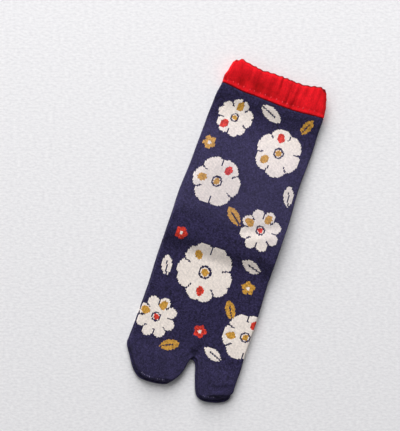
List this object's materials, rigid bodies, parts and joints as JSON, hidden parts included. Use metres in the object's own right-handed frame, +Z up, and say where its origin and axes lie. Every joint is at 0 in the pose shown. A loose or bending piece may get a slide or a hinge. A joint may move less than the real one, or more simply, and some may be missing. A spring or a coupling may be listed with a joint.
{
  "type": "pair of split-toe socks",
  "caption": "Knitted crew socks with a separate big toe and a turned elastic cuff, laid flat, one sock on the other, soles together.",
  "frame": {"origin": "on the surface the pair lies on, under the middle of its outline", "axes": "+Y along the socks towards the cuffs, so the toes point to -Y; +X across them towards the big toes; +Z up, out of the upper sock's instep"},
  "size_m": [0.094, 0.2698, 0.0105],
  "materials": {
    "patterned_knit": "fine plain knit, navy with a cream flower pattern, matt and slightly fuzzy",
    "red_rib": "red elastic rib, turned and gathered, matt"
  },
  "bodies": {
    "root": {"upper_sock_body": "patterned_knit", "upper_sock_cuff": "red_rib", "lower_sock_body": "patterned_knit", "lower_sock_cuff": "red_rib"}
  },
  "joints": []
}
